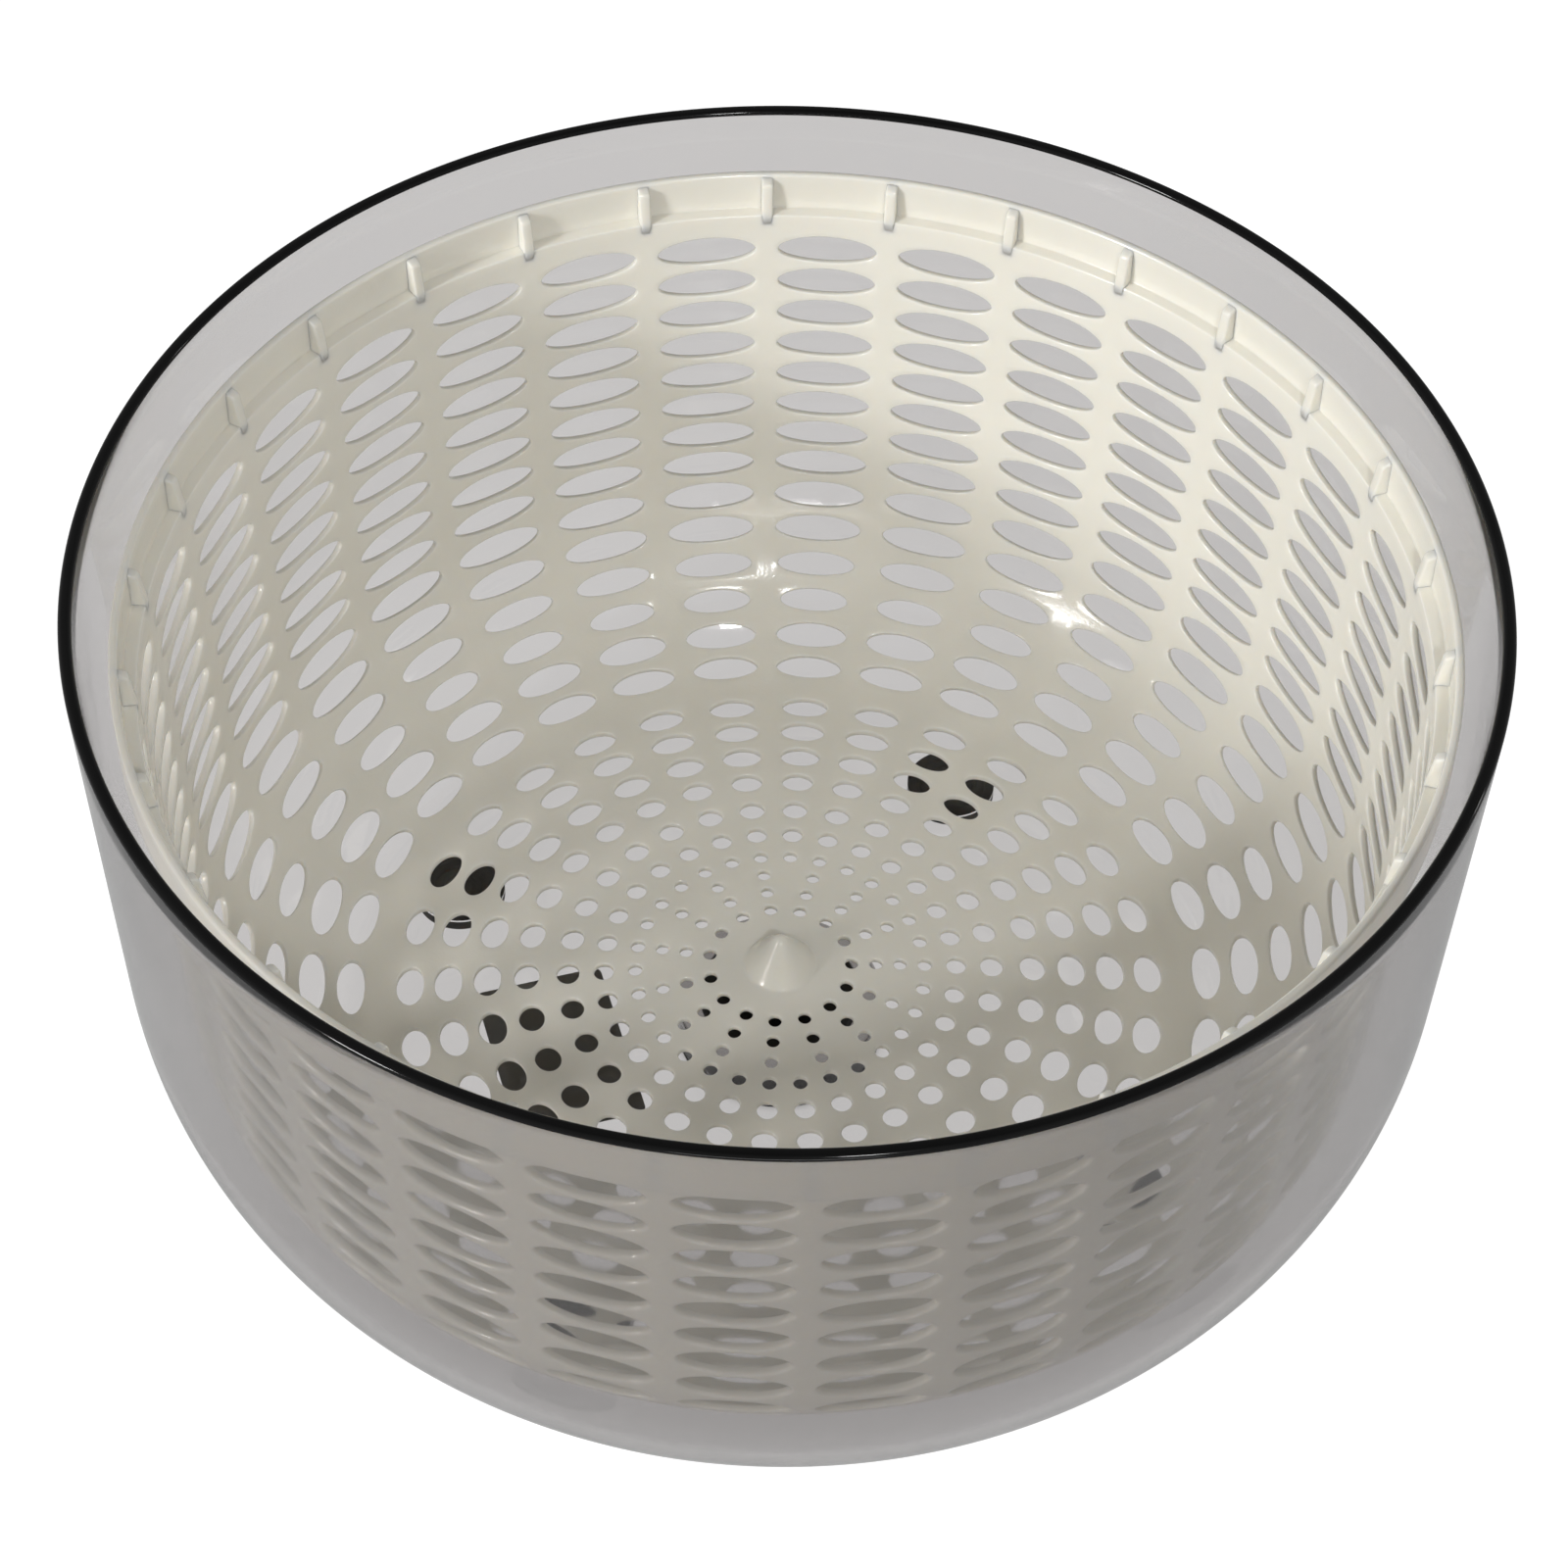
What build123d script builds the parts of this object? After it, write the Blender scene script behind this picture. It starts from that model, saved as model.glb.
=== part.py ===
from build123d import *
import os
from math import acos, atan2, cos, degrees, hypot, radians, sin, tan

# Salad spinner with its lid off: a smoked clear bowl on four rubber feet, and a slotted
# basket that turns on a pivot in the middle of the bowl's floor.
#
# Millimetres. +Z is up and is the turning axis. Z = 0 is the surface that the feet stand on.
# +Y is the back of the object as it stands, and +X is its right.

# ---- bowl ------------------------------------------------------------------------------
RIM_RADIUS = 125.0  # outside, at the rim
RIM_Z = 134.0
BASE_Z = 2.75  # underside of the flat base
BOWL_WALL = 2.4
BOWL_TAPER = 1.9  # degrees that the wall leans out
BOWL_CORNER_RADIUS = 68.0  # outside
BOWL_CORNER_Z = 60.7  # height of the corner arc's centre
BASE_EDGE_FILLET = 14.0
RIM_FILLET = 0.9
FLOOR_Z = BASE_Z + BOWL_WALL

# ---- ring on the bowl's floor, and the pivot in it -------------------------------------
RING_OUTER_RADIUS = 20.0
RING_INNER_RADIUS = 15.5
RING_TOP_Z = 15.5
RING_ROOT_FILLET = 2.0
RING_LIP_FILLET = 0.8
BUSH_TOP_Z = 17.0
BUSH_SKIN = 2.0
BUSH_LIP_FILLET = 0.8
BUSH_TUBE_RADIUS = 6.5
SPINDLE_RADIUS = 4.0
RUNNING_CLEARANCE = 0.06
SPINDLE_END_Z = FLOOR_Z + 1.5
SPINDLE_COLLAR_RADIUS = 7.0
SPINDLE_COLLAR_Z = 17.4
SPINDLE_NOSE_Z = 19.2

# ---- feet and label --------------------------------------------------------------------
FOOT_RADIUS = 9.0
FOOT_PITCH_RADIUS = 73.75
FOOT_SEAT_DEPTH = 0.8  # how far a foot is let into the base
FOOT_EDGE_FILLET = 0.7
FOOT_GROOVE_RADII = (2.8, 4.8, 6.8)
FOOT_GROOVE_WIDTH = 0.9
FOOT_GROOVE_DEPTH = 0.5
FOOT_ANGLES = {  # degrees from +Y towards +X
    "foot_back_right": 28.0,
    "foot_front_right": 118.0,
    "foot_front_left": 208.0,
    "foot_back_left": 298.0,
}
LABEL_WIDTH = 25.5
LABEL_HEIGHT = 37.0
LABEL_THICKNESS = 0.2
LABEL_CENTRE = (-42.8, -6.5)
LABEL_TURN = 17.0
LABEL_CORNER = 1.5

# ---- basket ----------------------------------------------------------------------------
BASKET_WALL = 1.6
COLUMNS = 30  # the perforated part is a flat-sided cup with one side for each column of holes
REST_TURN = -2.8  # degrees from +Y towards +X at which the first rib stands
BASKET_CORNER_RADIUS = 33.3  # inside
BASKET_CORNER_Z = 52.75  # height of the corner arc's centre
BASKET_MOUTH_RADIUS = 113.5  # inside, across the flats at the ledge
BASKET_TAPER = 2.46
HUB_RADIUS = 9.8  # flat middle of the floor
HUB_Z = 24.75  # top face of the flat middle
FLOOR_BEND = (45.0, 22.65)  # radius and height at which the floor's slope steepens
LEDGE_Z = 115.6
COLLAR_RADIUS = 117.6  # outside
COLLAR_TOP_Z = 123.75
COLLAR_FILLET = 0.6
RIB_WIDTH = 2.2
RIB_LEAN = 0.8  # how far a rib's inner edge leans out on its way up
RIB_SHOULDER = 1.4  # drop of a rib's sloping shoulder below the collar's top
CONE_RADIUS = 7.0
CONE_HEIGHT = 8.0
CONE_TIP_RADIUS = 1.8
PIVOT_GAP = 0.4  # between the spindle and the hollows that it sits in
SOCKET_Z = 19.4
SOCKET_WALL = 1.8

# ---- the basket's holes ----------------------------------------------------------------
# rings in the floor: radius, size around, size outwards. The sparse ones skip every other column
SPARSE_RINGS = [(13.8, 2.5, 2.5), (18.5, 2.5, 2.5), (23.2, 2.5, 2.5)]
FULL_RINGS = [
    (28.0, 2.7, 2.7),
    (34.1, 3.9, 3.8),
    (41.0, 4.9, 4.4),
    (49.0, 6.1, 4.9),
    (56.6, 7.8, 5.3),
    (64.2, 8.8, 5.4),
    (71.6, 9.2, 5.4),
]
# rows round the corner, evenly spaced upwards: width and height of their holes
CORNER_ROW_START = 9.5  # degrees up from straight down
CORNER_ROW_PITCH = 13.0
CORNER_ROWS = [(13.2, 5.3), (14.4, 5.3), (13.8, 4.6), (15.8, 4.7), (17.6, 5.3), (18.4, 5.9)]
# straight rows in the wall
WALL_ROWS = 8
LOWEST_WALL_ROW = 4.3  # distance up the straight wall
WALL_ROW_PITCH = 7.95
WALL_HOLE_HEIGHT = 6.3
LOWEST_WALL_HOLE_WIDTH = 18.6
WALL_HOLE_WIDTH_STEP = 0.09


class Wall:
    """The outline of a cup's wall: straight from its top, then tangent to a corner arc."""

    def __init__(self, top_radius, top_z, taper, corner_z, corner_radius):
        self.top_radius = top_radius
        self.top_z = top_z
        self.taper = radians(taper)
        self.corner_z = corner_z
        self.corner_radius = corner_radius
        self.centre_radius = self.radius(corner_z) - corner_radius / cos(self.taper)

    def radius(self, z, outwards=0.0):
        """The straight wall's radius at a height, moved outwards by that much."""
        return self.top_radius - (self.top_z - z) * tan(self.taper) + outwards / cos(self.taper)

    def on_corner(self, angle, outwards=0.0):
        """The point of the corner arc at an angle up from straight down, in degrees."""
        reach = self.corner_radius + outwards
        a = radians(angle)
        return (self.centre_radius + reach * sin(a), self.corner_z - reach * cos(a))

    def angle_at(self, z, outwards=0.0):
        """The angle at which the corner arc reaches a height."""
        return degrees(acos((self.corner_z - z) / (self.corner_radius + outwards)))

    def edges(self, low_angle, outwards, top_z):
        """The corner arc from an angle upwards, and the straight wall above it."""
        high_angle = 90.0 - degrees(self.taper)
        arc = ThreePointArc(
            self.on_corner(low_angle, outwards),
            self.on_corner((low_angle + high_angle) / 2, outwards),
            self.on_corner(high_angle, outwards),
        )
        return [arc, Line(arc @ 1, (self.radius(top_z, outwards), top_z))]


BOWL = Wall(RIM_RADIUS, RIM_Z, BOWL_TAPER, BOWL_CORNER_Z, BOWL_CORNER_RADIUS)
BASKET = Wall(BASKET_MOUTH_RADIUS, LEDGE_Z, BASKET_TAPER, BASKET_CORNER_Z, BASKET_CORNER_RADIUS)


def outline(edges):
    """A face in the radius and height plane, from edges that run end to end round it."""
    return make_face(Curve() + list(edges))


def polygon(*points):
    """A face in the radius and height plane, from its corners."""
    return make_face(Polyline(*points, close=True))


def rounded(face, radius, *points):
    """The face with the corners at these points rounded."""
    corners = [face.vertices().sort_by_distance((x, y, 0))[0] for x, y in points]
    return fillet(corners, radius)


def turned(face):
    """The solid that a radius and height face sweeps around the Z axis."""
    return revolve(Plane.XZ * face, axis=Axis.Z)


def around(radius, angle):
    """A place on the XY plane at an angle from +Y towards +X, turned so its Y points out."""
    return Rot(0, 0, -angle) * Pos(0, radius, 0)


def cup_solid(outwards, low_z, top_z, edge_fillet):
    """The bowl's skin, moved outwards, filled in from low_z to top_z."""
    low_angle = BOWL.angle_at(low_z, outwards)
    arc, wall = BOWL.edges(low_angle, outwards, top_z)
    corner = arc @ 0
    face = outline(
        [
            Line((0, low_z), corner),
            arc,
            wall,
            Line(wall @ 1, (0, top_z)),
            Line((0, top_z), (0, low_z)),
        ]
    )
    return turned(rounded(face, edge_fillet, (corner.X, corner.Y)))


def make_bowl():
    """The bowl, with the ring for the pivot on its floor and four seats for the feet."""
    bowl = cup_solid(0, BASE_Z, RIM_Z, BASE_EDGE_FILLET)
    bowl -= cup_solid(-BOWL_WALL, FLOOR_Z, RIM_Z, BASE_EDGE_FILLET - BOWL_WALL)
    rim_edges = bowl.edges().group_by(Axis.Z)[-1]
    bowl = fillet(rim_edges, RIM_FILLET)
    ring = turned(
        rounded(
            polygon(
                (RING_INNER_RADIUS, BASE_Z + BOWL_WALL / 2),
                (RING_OUTER_RADIUS, BASE_Z + BOWL_WALL / 2),
                (RING_OUTER_RADIUS, RING_TOP_Z),
                (RING_INNER_RADIUS, RING_TOP_Z),
            ),
            RING_LIP_FILLET,
            (RING_OUTER_RADIUS, RING_TOP_Z),
            (RING_INNER_RADIUS, RING_TOP_Z),
        )
    )
    bowl += ring
    root = [
        e
        for e in bowl.edges().filter_by(GeomType.CIRCLE)
        if abs(e.radius - RING_OUTER_RADIUS) < 0.01 and abs(e.center().Z - FLOOR_Z) < 0.01
    ]
    bowl = fillet(root, RING_ROOT_FILLET)
    for angle in FOOT_ANGLES.values():
        seat = Cylinder(FOOT_RADIUS, FOOT_SEAT_DEPTH, align=(Align.CENTER, Align.CENTER, Align.MIN))
        bowl -= around(FOOT_PITCH_RADIUS, angle) * Pos(0, 0, BASE_Z) * seat
    return bowl


def make_foot(angle):
    """A round rubber foot with ring grooves in both faces."""
    top_z = BASE_Z + FOOT_SEAT_DEPTH
    face = rounded(
        polygon((0, 0), (FOOT_RADIUS, 0), (FOOT_RADIUS, top_z), (0, top_z)),
        FOOT_EDGE_FILLET,
        (FOOT_RADIUS, 0),
    )
    foot = turned(face)
    for radius in FOOT_GROOVE_RADII:
        for low_z in (0, top_z - FOOT_GROOVE_DEPTH):
            inner = radius - FOOT_GROOVE_WIDTH / 2
            outer = radius + FOOT_GROOVE_WIDTH / 2
            high_z = low_z + FOOT_GROOVE_DEPTH
            foot -= turned(polygon((inner, low_z), (outer, low_z), (outer, high_z), (inner, high_z)))
    return around(FOOT_PITCH_RADIUS, angle) * foot


def make_label():
    """The blank sticker on the underside of the base."""
    shape = RectangleRounded(LABEL_WIDTH, LABEL_HEIGHT, LABEL_CORNER)
    place = Pos(*LABEL_CENTRE, BASE_Z - LABEL_THICKNESS) * Rot(0, 0, LABEL_TURN)
    return place * extrude(shape, LABEL_THICKNESS)


def make_bush():
    """The black bearing in the ring: a capped skirt with a bored tube down its middle."""
    bore = SPINDLE_RADIUS + RUNNING_CLEARANCE
    skirt = RING_INNER_RADIUS - BUSH_SKIN
    cap = BUSH_TOP_Z - BUSH_SKIN
    face = polygon(
        (bore, FLOOR_Z),
        (BUSH_TUBE_RADIUS, FLOOR_Z),
        (BUSH_TUBE_RADIUS, cap),
        (skirt, cap),
        (skirt, FLOOR_Z),
        (RING_INNER_RADIUS, FLOOR_Z),
        (RING_INNER_RADIUS, BUSH_TOP_Z),
        (bore, BUSH_TOP_Z),
    )
    return turned(rounded(face, BUSH_LIP_FILLET, (RING_INNER_RADIUS, BUSH_TOP_Z)))


def cone_edges(base_radius, base_z, height, tip_radius):
    """The slope of a cone and its round tip, which ends on the axis."""
    centre_z = base_z + height - tip_radius
    drop = centre_z - base_z
    slope = degrees(acos(tip_radius / hypot(base_radius, drop)) - atan2(drop, base_radius))
    tip = CenterArc((0, centre_z), tip_radius, slope, 90.0 - slope)
    return [Line((base_radius, base_z), tip @ 0), tip]


def cone_solid(base_radius, base_z, height, tip_radius):
    """A cone with a round tip."""
    slope, tip = cone_edges(base_radius, base_z, height, tip_radius)
    centre = (0, base_z)
    return turned(outline([Line(centre, slope @ 0), slope, tip, Line(tip @ 1, centre)]))


def make_spindle():
    """The turning pivot: shaft, collar and a pointed nose that fits the basket's cone."""
    nose_radius = CONE_RADIUS - BASKET_WALL - PIVOT_GAP
    nose_z = HUB_Z - BASKET_WALL - PIVOT_GAP
    tip_radius = CONE_TIP_RADIUS - PIVOT_GAP
    slope, tip = cone_edges(nose_radius, nose_z, CONE_HEIGHT - PIVOT_GAP, tip_radius)
    corners = [
        (0, SPINDLE_END_Z),
        (SPINDLE_RADIUS, SPINDLE_END_Z),
        (SPINDLE_RADIUS, SPINDLE_COLLAR_Z),
        (SPINDLE_COLLAR_RADIUS, SPINDLE_COLLAR_Z),
        (SPINDLE_COLLAR_RADIUS, SPINDLE_NOSE_Z),
        (nose_radius, SPINDLE_NOSE_Z),
        (nose_radius, nose_z),
    ]
    return turned(outline([*Polyline(*corners).edges(), slope, tip, Line(tip @ 1, corners[0])]))


def skin_points():
    """The corners of the basket's inner skin, from its flat middle up to the ledge."""
    points = [(HUB_RADIUS / 2, HUB_Z), (HUB_RADIUS, HUB_Z), FLOOR_BEND]
    half_pitch = CORNER_ROW_PITCH / 2
    outwards = BASKET_CORNER_RADIUS / cos(radians(half_pitch)) - BASKET_CORNER_RADIUS
    for row in range(len(CORNER_ROWS) + 1):
        angle = CORNER_ROW_START - half_pitch + row * CORNER_ROW_PITCH
        points.append(BASKET.on_corner(angle, outwards))
    return [*points, (BASKET_MOUTH_RADIUS, LEDGE_Z)]


def offset_points(points, distance):
    """The same open line of corners, moved to its right with its sides kept parallel."""
    spots = [Vector(*p) for p in points]
    normals = [(b - a).normalized().rotate(Axis.Z, -90) for a, b in zip(spots, spots[1:])]
    moved = []
    for spot, before, after in zip(spots, normals[:1] + normals, normals + normals[-1:]):
        corner = spot + (before + after) * (distance / (1 + before.dot(after)))
        moved.append((corner.X, corner.Y))
    return moved


def side_hole(start, end, along, width, height):
    """An oval plug that fills a hole in the flat side from start to end, at +Y.

    start and end are (Y, Z) corners of the inner skin, and along is how far the hole's
    centre is from start. The plug's ends lie in the side's two faces.
    """
    rise = (Vector(0, *end) - Vector(0, *start)).normalized()
    outward = rise.rotate(Axis.X, -90)
    face = Plane(origin=Vector(0, *start) + rise * along, x_dir=(1, 0, 0), z_dir=outward)
    return extrude(face * Ellipse(width / 2, height / 2), BASKET_WALL)


def floor_plugs(rings):
    """The plugs of a list of rings in the floor."""
    hub, bend, corner = skin_points()[1:4]
    plugs = []
    for radius, width, height in rings:
        start, end = (hub, bend) if radius < bend[0] else (bend, corner)
        share = (radius - start[0]) / (end[0] - start[0])
        along = share * hypot(end[0] - start[0], end[1] - start[1])
        plugs.append(side_hole(start, end, along, width, height))
    return plugs


def wall_plugs():
    """The plugs of the rows round the corner and up the wall."""
    points = skin_points()[3:]
    plugs = []
    for start, end, (width, height) in zip(points, points[1:], CORNER_ROWS):
        middle = hypot(end[0] - start[0], end[1] - start[1]) / 2
        plugs.append(side_hole(start, end, middle, width, height))
    foot, mouth = points[-2:]
    for row in range(WALL_ROWS):
        along = LOWEST_WALL_ROW + row * WALL_ROW_PITCH
        width = LOWEST_WALL_HOLE_WIDTH + row * WALL_HOLE_WIDTH_STEP
        plugs.append(side_hole(foot, mouth, along, width, WALL_HOLE_HEIGHT))
    return plugs


def basket_sides():
    """The two kinds of flat side, at +Y: without and with holes in the sparse rings."""
    inner = skin_points()
    outer = offset_points(inner, BASKET_WALL)
    last, top = outer[-2:]
    run_per_rise = (top[0] - last[0]) / (top[1] - last[1])
    outer[-1] = (last[0] + run_per_rise * (LEDGE_Z - last[1]), LEDGE_Z)
    half_side = COLLAR_RADIUS * tan(radians(180 / COLUMNS))
    strip = extrude(Plane.YZ * polygon(*inner, *reversed(outer)), half_side, both=True)
    wedge = extrude(polygon((0, 0), (-half_side, COLLAR_RADIUS), (half_side, COLLAR_RADIUS)), RIM_Z)
    plain = (strip & wedge) - (floor_plugs(FULL_RINGS) + wall_plugs())
    return plain, plain - floor_plugs(SPARSE_RINGS)


def make_rib():
    """One of the collar's upright ribs, standing at +Y."""
    foot_z = LEDGE_Z - BASKET_WALL / 2
    buried = COLLAR_RADIUS - BASKET_WALL / 2
    mouth = BASKET_MOUTH_RADIUS / cos(radians(180 / COLUMNS))
    face = polygon(
        (mouth, foot_z),
        (buried, foot_z),
        (buried, COLLAR_TOP_Z - COLLAR_FILLET),
        (COLLAR_RADIUS - BASKET_WALL, COLLAR_TOP_Z - COLLAR_FILLET),
        (mouth + RIB_LEAN, COLLAR_TOP_Z - RIB_SHOULDER),
    )
    return extrude(Plane.YZ * face, RIB_WIDTH / 2, both=True)


def make_collar():
    """The ledge and the upright band around the basket's mouth."""
    inner = COLLAR_RADIUS - BASKET_WALL
    buried = BASKET_MOUTH_RADIUS + BASKET_WALL / 2
    under_z = LEDGE_Z - BASKET_WALL
    face = polygon(
        (buried, under_z),
        (COLLAR_RADIUS, under_z),
        (COLLAR_RADIUS, COLLAR_TOP_Z),
        (inner, COLLAR_TOP_Z),
        (inner, LEDGE_Z),
        (buried, LEDGE_Z),
    )
    return turned(rounded(face, COLLAR_FILLET, (inner, COLLAR_TOP_Z), (COLLAR_RADIUS, COLLAR_TOP_Z)))


def make_hub():
    """The flat middle of the basket's floor, with its cone and the socket under it."""
    under_z = HUB_Z - BASKET_WALL
    socket_inner = SPINDLE_COLLAR_RADIUS + PIVOT_GAP
    socket_outer = socket_inner + SOCKET_WALL
    hub = turned(
        polygon(
            (0, under_z),
            (socket_inner, under_z),
            (socket_inner, SOCKET_Z),
            (socket_outer, SOCKET_Z),
            (socket_outer, HUB_Z),
            (0, HUB_Z),
        )
    )
    hub += cone_solid(CONE_RADIUS, HUB_Z, CONE_HEIGHT, CONE_TIP_RADIUS)
    return hub - cone_solid(CONE_RADIUS - BASKET_WALL, under_z, CONE_HEIGHT, CONE_TIP_RADIUS)


def make_basket():
    """The basket: thirty flat sides full of holes, a hub in the middle and a ribbed collar."""
    sides = basket_sides()
    rib = make_rib()
    pitch = 360 / COLUMNS
    pieces = []
    for k in range(COLUMNS):
        turn = -(REST_TURN + k * pitch)
        pieces.append(Rot(0, 0, turn) * rib)
        pieces.append(Rot(0, 0, turn - pitch / 2) * sides[k % 2])
    return make_hub() + [make_collar(), *pieces]


def main():
    parts = {
        "bowl": make_bowl(),
        "pivot_bush": make_bush(),
        "pivot_spindle": make_spindle(),
        "basket": make_basket(),
        "base_label": make_label(),
    }
    for name, angle in FOOT_ANGLES.items():
        parts[name] = make_foot(angle)
    os.makedirs("parts", exist_ok=True)
    for name, shape in parts.items():
        shape.label = name
        export_step(shape, f"parts/{name}.step")


main()
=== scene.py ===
"""Looks for the salad spinner: a smoked clear bowl whose rim is painted near-black as shade,
standing in for the dark that light takes on its way down the clear wall, on four ringed rubber
feet, and a cream slotted basket on a black pivot. Lengths are millimetres until a mesh is made.
"""

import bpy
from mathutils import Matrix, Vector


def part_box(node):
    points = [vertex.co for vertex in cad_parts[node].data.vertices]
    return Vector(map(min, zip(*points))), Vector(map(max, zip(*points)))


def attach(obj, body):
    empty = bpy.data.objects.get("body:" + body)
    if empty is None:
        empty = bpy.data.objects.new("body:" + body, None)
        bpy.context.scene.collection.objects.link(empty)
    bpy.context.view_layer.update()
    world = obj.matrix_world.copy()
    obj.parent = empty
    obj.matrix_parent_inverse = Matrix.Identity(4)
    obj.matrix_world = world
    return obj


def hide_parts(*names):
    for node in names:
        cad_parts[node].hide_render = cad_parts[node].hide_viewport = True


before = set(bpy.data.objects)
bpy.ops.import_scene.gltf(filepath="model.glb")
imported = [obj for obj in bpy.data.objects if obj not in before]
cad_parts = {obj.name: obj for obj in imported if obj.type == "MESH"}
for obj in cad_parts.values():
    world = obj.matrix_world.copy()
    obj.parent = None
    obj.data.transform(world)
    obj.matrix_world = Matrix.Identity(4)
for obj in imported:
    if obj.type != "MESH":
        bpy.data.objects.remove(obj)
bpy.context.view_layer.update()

from math import acos, asin, atan2, cos, degrees, hypot, pi, radians, sin, sqrt, tan

import bmesh
import bpy
import numpy as np
from mathutils import Matrix, Vector

MM = 0.001


def box_mm(node):
    """The lowest and highest corners of a CAD node, in millimetres."""
    low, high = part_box(node)
    return low / MM, high / MM


def foot_place(node):
    """A foot's middle in the level plane, in metres."""
    low, high = box_mm(node)
    return Vector(((low.x + high.x) / 2, (low.y + high.y) / 2, 0)) * MM


# ---- sizes from the frame --------------------------------------------------------------
BOWL_LOW, BOWL_HIGH = box_mm("bowl")
BUSH_LOW, BUSH_HIGH = box_mm("pivot_bush")
SPINDLE_LOW, SPINDLE_HIGH = box_mm("pivot_spindle")
BASKET_HIGH = box_mm("basket")[1]
LABEL_LOW, LABEL_HIGH = box_mm("base_label")
FEET = ("foot_back_right", "foot_front_right", "foot_front_left", "foot_back_left")

RIM_RADIUS = BOWL_HIGH.y
RIM_Z = BOWL_HIGH.z
BASE_Z = BOWL_LOW.z
FLOOR_Z = BUSH_LOW.z
BOWL_WALL = FLOOR_Z - BASE_Z
RING_INNER_RADIUS = BUSH_HIGH.y
COLLAR_RADIUS = BASKET_HIGH.y
COLLAR_TOP_Z = BASKET_HIGH.z

# ---- bowl ------------------------------------------------------------------------------
BOWL_TAPER = 1.9  # degrees that the wall leans out
BOWL_CORNER_RADIUS = 68.0
BOWL_CORNER_Z = 60.7
BASE_EDGE_FILLET = 14.0
RIM_FILLET = 0.9
RING_OUTER_RADIUS = 20.0
RING_TOP_Z = 15.5
BOWL_STEPS = 384

# ---- pivot -----------------------------------------------------------------------------
BUSH_SKIN = 2.0
BUSH_TUBE_RADIUS = 6.5
BUSH_BORE = 4.06
SHAFT_RADIUS = 4.0
SHAFT_COLLAR_Z = (17.4, 19.2)
PIVOT_GAP = 0.4  # between the spindle and the hollows that it sits in

# ---- feet and label --------------------------------------------------------------------
FOOT_GROOVES = (2.8, 4.8, 6.8)
FOOT_GROOVE_WIDTH = 0.9
FOOT_GROOVE_DEPTH = 0.5
LABEL_WIDTH = 25.5
LABEL_HEIGHT = 37.0
LABEL_TURN = 17.0
LABEL_CORNER = 1.5
APART = 0.02  # between pieces that touch, so that clear faces never coincide
FOOT_SLACK = 0.05  # between a foot's edge and its seat
BUSH_SLACK = 0.06  # between the bush and the ring

# ---- basket ----------------------------------------------------------------------------
WALL = 1.6
COLUMNS = 30
REST_TURN = -2.8  # degrees from +Y towards +X at which the first rib stands
CORNER_RADIUS = 33.3  # inside
CORNER_Z = 52.75
MOUTH_RADIUS = 113.5
TAPER = 2.46  # degrees that the basket's wall leans out
LEDGE_Z = 115.6
COLLAR_FILLET = 0.6
HUB_RADIUS = 9.8
HUB_Z = 24.75
FLOOR_BEND = (45.0, 22.65)  # radius and height at which the floor's slope steepens
BEND_EASING = 0.8  # how far each side of the bend the slope changes over
CONE_RADIUS = 7.0
CONE_HEIGHT = 8.0
CONE_TIP = 1.8  # radius of its round tip
SOCKET_RADII = (7.4, 9.2)
SOCKET_Z = 19.4  # its lower edge
RIB_WIDTH = 2.2
RIB_EDGE = 0.45  # rounding of a rib's edges
HOLE_LIPS = (0.3, 0.8)  # rounding of a hole's inner and outer lips
RIB_LEAN = 0.8  # how far a rib's inner edge leans out on its way up
RIB_SHOULDER = 1.4  # drop of a rib's sloping shoulder below the collar's top
RIB_FOOT = 2.4  # how far a rib fades out below the ledge
STEPS_ACROSS = 16  # mesh steps across one column of holes
STEPS_UP = 8  # mesh steps up one row of holes
SKIN_STEPS = 20000  # steps in the table of the skin's outline

# radius, size around and size outwards of the holes in the floor; the sparse rings skip every
# other column
SPARSE_RINGS = [(13.8, 2.5, 2.5), (18.5, 2.5, 2.5), (23.2, 2.5, 2.5)]
FULL_RINGS = [
    (28.0, 2.7, 2.7),
    (34.1, 3.9, 3.8),
    (41.0, 4.9, 4.4),
    (49.0, 6.1, 4.9),
    (56.6, 7.8, 5.3),
    (64.2, 8.8, 5.4),
    (71.6, 9.2, 5.4),
]
CORNER_ROW_START = 9.5  # degrees up from straight down
CORNER_ROW_PITCH = 13.0
CORNER_ROWS = [(13.2, 5.3), (14.4, 5.3), (13.8, 4.6), (15.8, 4.7), (17.6, 5.3), (18.4, 5.9)]
WALL_ROWS = 8
LOWEST_WALL_ROW_Z = 51.8
WALL_ROW_PITCH = 7.95
WALL_HOLE_HEIGHT = 6.3
LOWEST_WALL_HOLE_WIDTH = 18.6
WALL_HOLE_WIDTH_STEP = 0.09


# ---- outlines --------------------------------------------------------------------------
def arc(centre, radius, start, end, steps):
    """Points on an arc in the radius and height plane. Angles are degrees up from straight
    down, towards larger radius."""
    turns = np.radians(np.linspace(start, end, steps + 1))
    return [(centre[0] + radius * sin(a), centre[1] - radius * cos(a)) for a in turns]


def fillet_corner(before, corner, after, radius, steps=5):
    """Points that round one corner of an open line."""
    p, q, r = (Vector(x) for x in (before, corner, after))
    to_p, to_r = (p - q).normalized(), (r - q).normalized()
    half = to_p.angle(to_r) / 2
    reach = min(radius / tan(half), 0.49 * (p - q).length, 0.49 * (r - q).length)
    radius = reach * tan(half)
    centre = q + (to_p + to_r).normalized() * (radius / sin(half))
    first, last = q + to_p * reach - centre, q + to_r * reach - centre
    whole = first.angle_signed(last)
    points = []
    for i in range(steps + 1):
        spoke = first.copy()
        spoke.rotate(Matrix.Rotation(-whole * i / steps, 2))
        points.append(tuple(centre + spoke))
    return points


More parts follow.
